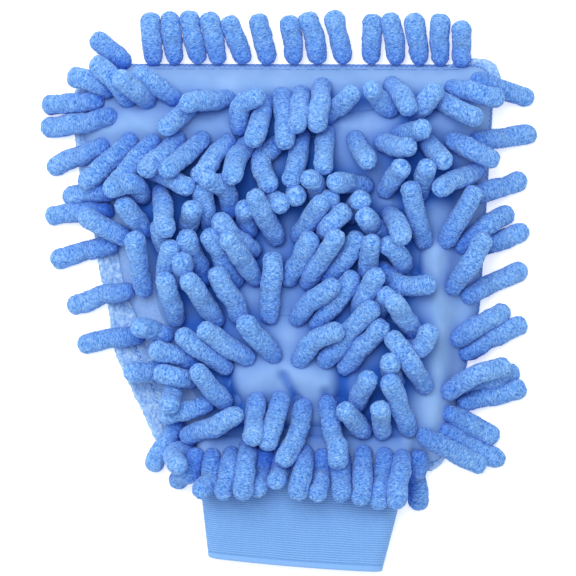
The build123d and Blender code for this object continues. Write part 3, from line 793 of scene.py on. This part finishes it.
def link(tree, source, output, target, socket):
    """Joins a named output of one node to a named input of another."""
    tree.links.new(source.outputs[output], target.inputs[socket])


def attribute(tree, name):
    """A node that reads a per-vertex value."""
    node = tree.nodes.new("ShaderNodeAttribute")
    node.attribute_name = name
    return node


def noise(tree, scale, detail=2.0, distortion=0.0, place=None):
    """Noise with this many features to a metre, in object space or along a named attribute."""
    node = tree.nodes.new("ShaderNodeTexNoise")
    node.inputs["Scale"].default_value = scale
    node.inputs["Detail"].default_value = detail
    node.inputs["Distortion"].default_value = distortion
    if place:
        link(tree, attribute(tree, place), "Vector", node, "Vector")
    else:
        link(tree, tree.nodes.new("ShaderNodeTexCoord"), "Object", node, "Vector")
    return node


def wave(tree, scale, distortion, detail_scale=1.0):
    """Bands across X in object space, for the wales of a knit."""
    node = tree.nodes.new("ShaderNodeTexWave")
    node.inputs["Scale"].default_value = scale
    node.inputs["Distortion"].default_value = distortion
    node.inputs["Detail Scale"].default_value = detail_scale
    link(tree, tree.nodes.new("ShaderNodeTexCoord"), "Object", node, "Vector")
    return node


def sum_of(tree, *weighted):
    """A node with the weighted sum of outputs: (node, output, weight) each."""
    total = None
    for source, output, weight in weighted:
        node = tree.nodes.new("ShaderNodeMath")
        node.operation = "MULTIPLY_ADD"
        link(tree, source, output, node, 0)
        node.inputs[1].default_value = weight
        node.inputs[2].default_value = 0.0
        if total:
            tree.links.new(total.outputs[0], node.inputs[2])
        total = node
    return total


def ramp(tree, stops):
    """A colour ramp from (position, colour) stops."""
    node = tree.nodes.new("ShaderNodeValToRGB")
    elements = node.color_ramp.elements
    while len(elements) < len(stops):
        elements.new(0.5)
    for element, (position, colour) in zip(elements, stops):
        element.position = position
        element.color = (*colour, 1)
    return node


def mixed(tree, first, second, factor):
    """A mix of a ramp with another ramp or a plain colour, by a factor's output."""
    node = tree.nodes.new("ShaderNodeMix")
    node.data_type = "RGBA"
    tree.links.new(factor, node.inputs["Factor"])
    tree.links.new(first.outputs["Color"], node.inputs["A"])
    if isinstance(second, tuple):
        node.inputs["B"].default_value = (*second, 1)
    else:
        tree.links.new(second.outputs["Color"], node.inputs["B"])
    return node


def bump(tree, shader, height, distance, strength=1.0):
    """Surface relief (distance in metres) from a height output."""
    node = tree.nodes.new("ShaderNodeBump")
    node.inputs["Strength"].default_value = strength
    node.inputs["Distance"].default_value = distance
    tree.links.new(height, node.inputs["Height"])
    link(tree, node, "Normal", shader, "Normal")


def fabric_finish(shader, roughness, sheen, sheen_roughness=0.5):
    """The dull, slightly hairy finish that all the cloths share."""
    shader.inputs["Roughness"].default_value = roughness
    shader.inputs["Sheen Weight"].default_value = sheen
    shader.inputs["Sheen Roughness"].default_value = sheen_roughness
    shader.inputs["Sheen Tint"].default_value = (0.6, 0.78, 1, 1)
    shader.inputs["Specular IOR Level"].default_value = 0.15


def chenille_material():
    """Velvety pile: woolly grain, with painted shade in its valleys and far down among the tufts, and
    painted light on top.
    """
    material, tree, shader = new_material("chenille")
    pile = attribute(tree, "pile")
    painted_shade = attribute(tree, "painted_shade")
    tint = attribute(tree, "tint")
    fine = noise(tree, 1300, 1.5, 0.8, "place")
    coarse = noise(tree, 330, 2.0, 0.3)
    # the colour follows the pile's relief, which also drives the bump: painted shade in its hollows and
    # painted light on its tips, with random tone from the coarse noise and each tuft's tint
    relief = sum_of(tree, (fine, "Fac", 1.0), (pile, "Fac", 0.2), (coarse, "Fac", 0.12),
                    (tint, "Fac", 0.04))
    # the lit copy of the pile
    light = ramp(tree, [(0.48, (0.05, 0.18, 0.63)), (0.62, (0.12, 0.33, 0.84)),
                        (0.73, (0.19, 0.43, 0.93)), (0.88, (0.34, 0.61, 1.0))])
    link(tree, relief, 0, light, "Fac")
    # the shaded copy of the pile, for the painted shade
    dark = ramp(tree, [(0.5, (0.012, 0.08, 0.5)), (0.85, (0.05, 0.2, 0.8))])
    link(tree, relief, 0, dark, "Fac")
    colour = mixed(tree, light, dark, painted_shade.outputs["Fac"])
    tree.links.new(colour.outputs["Result"], shader.inputs["Base Color"])
    bump(tree, shader, relief.outputs[0], 0.001)
    fabric_finish(shader, 0.95, 0.25)
    return material


def knit_material():
    """Fine smooth knit of the front, with painted shade that makes it darker and more saturated far down
    among the tufts.
    """
    material, tree, shader = new_material("knit")
    painted_shade = attribute(tree, "painted_shade")
    patches = noise(tree, 60, 2.0)
    light = ramp(tree, [(0.3, (0.212, 0.385, 0.72)), (0.7, (0.272, 0.46, 0.8))])
    link(tree, patches, "Fac", light, "Fac")
    # painted shade: a dark blue mixed in where the painted shade lies
    colour = mixed(tree, light, (0.02, 0.115, 0.5), painted_shade.outputs["Fac"])
    tree.links.new(colour.outputs["Result"], shader.inputs["Base Color"])
    wales = wave(tree, 420, 1.5)
    grain = noise(tree, 1600, 2.0)
    relief = sum_of(tree, (wales, "Fac", 0.6), (grain, "Fac", 0.5))
    bump(tree, shader, relief.outputs[0], 0.00012, 0.5)
    fabric_finish(shader, 0.8, 0.2, 0.35)
    return material


def terry_material():
    """Loop pile: pale speckled tips over a blue ground, partly random speckle and partly painted light on
    the loops' tips and painted shade between them.
    """
    material, tree, shader = new_material("terry")
    pile = attribute(tree, "pile")
    fine = noise(tree, 1000, 2.5, 0.5)
    coarse = noise(tree, 520, 2.0, 0.4)
    # the colour follows the relief that also drives the bump: painted light on the loops' tips, painted
    # shade between them, and random speckle
    relief = sum_of(tree, (pile, "Fac", 0.15), (fine, "Fac", 0.55), (coarse, "Fac", 0.45))
    colour = ramp(tree, [(0.32, (0.11, 0.3, 0.7)), (0.54, (0.26, 0.48, 0.86)), (0.76, (0.54, 0.76, 0.97))])
    link(tree, relief, 0, colour, "Fac")
    link(tree, colour, "Color", shader, "Base Color")
    bump(tree, shader, relief.outputs[0], 0.0009)
    fabric_finish(shader, 0.95, 0.35)
    return material


def rib_material():
    """Elastic rib knit: light ribs and darker gaps, painted light and painted shade that follow the ribs'
    relief, and fine wales across them.
    """
    material, tree, shader = new_material("rib_knit")
    rib = attribute(tree, "rib")
    wales = wave(tree, 380, 2.0, 2.0)
    fine = noise(tree, 1500, 2.0)
    # the colour follows the ribs' relief, which also drives the bump: painted shade in the gaps and painted
    # light on the crests, with the wales' pattern
    relief = sum_of(tree, (rib, "Fac", 0.6), (wales, "Fac", 0.16), (fine, "Fac", 0.3))
    colour = ramp(tree, [(0.2, (0.12, 0.3, 0.64)), (0.55, (0.19, 0.4, 0.79)), (0.85, (0.27, 0.5, 0.9))])
    link(tree, relief, 0, colour, "Fac")
    link(tree, colour, "Color", shader, "Base Color")
    bump(tree, shader, relief.outputs[0], 0.00025, 0.8)
    fabric_finish(shader, 0.85, 0.2, 0.4)
    return material


def plain_material(name, dark, light, scale, distance, roughness, sheen):
    """A small-scale material for threads, lining and rubber yarns."""
    material, tree, shader = new_material(name)
    grain = noise(tree, scale, 2.0, 0.4)
    colour = ramp(tree, [(0.3, dark), (0.7, light)])
    link(tree, grain, "Fac", colour, "Fac")
    link(tree, colour, "Color", shader, "Base Color")
    bump(tree, shader, grain.outputs["Fac"], distance, 0.6)
    fabric_finish(shader, roughness, sheen)
    return material


def dress(piece, material):
    """Gives a piece its one material."""
    piece.data.materials.clear()
    piece.data.materials.append(material)


# ---- the pieces ----------------------------------------------------------------------
cad_rows = tuft_lines()
front_surface = front_surface_finder(cad_rows)
rows = sunk_roots(cad_rows, front_surface)
depth_below = depth_finder(rows, front_surface)
chenille = chenille_material()
for piece in make_tufts(rows, depth_below):
    dress(piece, chenille)
front_panel = make_front_panel(front_surface, depth_below)
dress(front_panel, knit_material())
back_panel = make_back_panel()
dress(back_panel, terry_material())
dress(make_cuff(), rib_material())
thread = plain_material("thread", (0.05, 0.17, 0.52), (0.09, 0.26, 0.7), 2500, 0.0001, 0.6, 0.2)
dress(make_overlock(front_surface), thread)
dress(make_row_thread(front_surface), thread)
lining = plain_material("lining", (0.22, 0.4, 0.75), (0.3, 0.48, 0.82), 900, 0.00008, 0.55, 0.1)
dress(make_slack_lining(), lining)
dress(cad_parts["lining_back"], lining)
dress(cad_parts["cuff_side_seam"], thread)
dress(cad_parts["cuff_join_seam"], thread)
rubber = plain_material("rubber", (0.55, 0.5, 0.42), (0.75, 0.7, 0.6), 1400, 0.00006, 0.5, 0.0)
dress(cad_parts["cuff_elastic"], rubber)


# ---- stage, light and camera ---------------------------------------------------------
def make_stage():
    """A pale floor, a soft sky and one large soft light from above."""
    bpy.ops.mesh.primitive_plane_add(size=4, location=(0, 0, -0.0002))
    floor = bpy.context.object
    floor.name = "floor"
    material, tree, shader = new_material("floor")
    shader.inputs["Base Color"].default_value = (0.93, 0.93, 0.93, 1)
    shader.inputs["Roughness"].default_value = 0.9
    shader.inputs["Emission Color"].default_value = (1, 1, 1, 1)
    shader.inputs["Emission Strength"].default_value = FLOOR_GLOW
    floor.data.materials.append(material)
    world = bpy.data.worlds.new("sky")
    bpy.context.scene.world = world
    world.use_nodes = True
    background = world.node_tree.nodes["Background"]
    background.inputs["Color"].default_value = (1, 1, 1, 1)
    background.inputs["Strength"].default_value = SKY_STRENGTH
    lamp = bpy.data.lights.new("softbox", "AREA")
    lamp.size = SOFTBOX_SIZE
    lamp.energy = SOFTBOX_POWER
    light = bpy.data.objects.new("softbox", lamp)
    light.location = SOFTBOX_PLACE
    light.rotation_euler = (-light.location).to_track_quat("-Z", "Y").to_euler()
    bpy.context.scene.collection.objects.link(light)


def make_camera():
    """Looks straight down on the whole mitt, with +Y up in the picture."""
    data = bpy.data.cameras.new("camera")
    camera = bpy.data.objects.new("camera", data)
    bpy.context.scene.collection.objects.link(camera)
    camera.location = CAMERA_PLACE
    camera.rotation_euler = (0, 0, 0)
    data.sensor_width = 36
    data.lens = data.sensor_width * (CAMERA_PLACE[2] - MITT_HEIGHT) / CAMERA_SPAN
    bpy.context.scene.camera = camera


make_stage()
make_camera()
bpy.context.scene.view_settings.view_transform = "Standard"
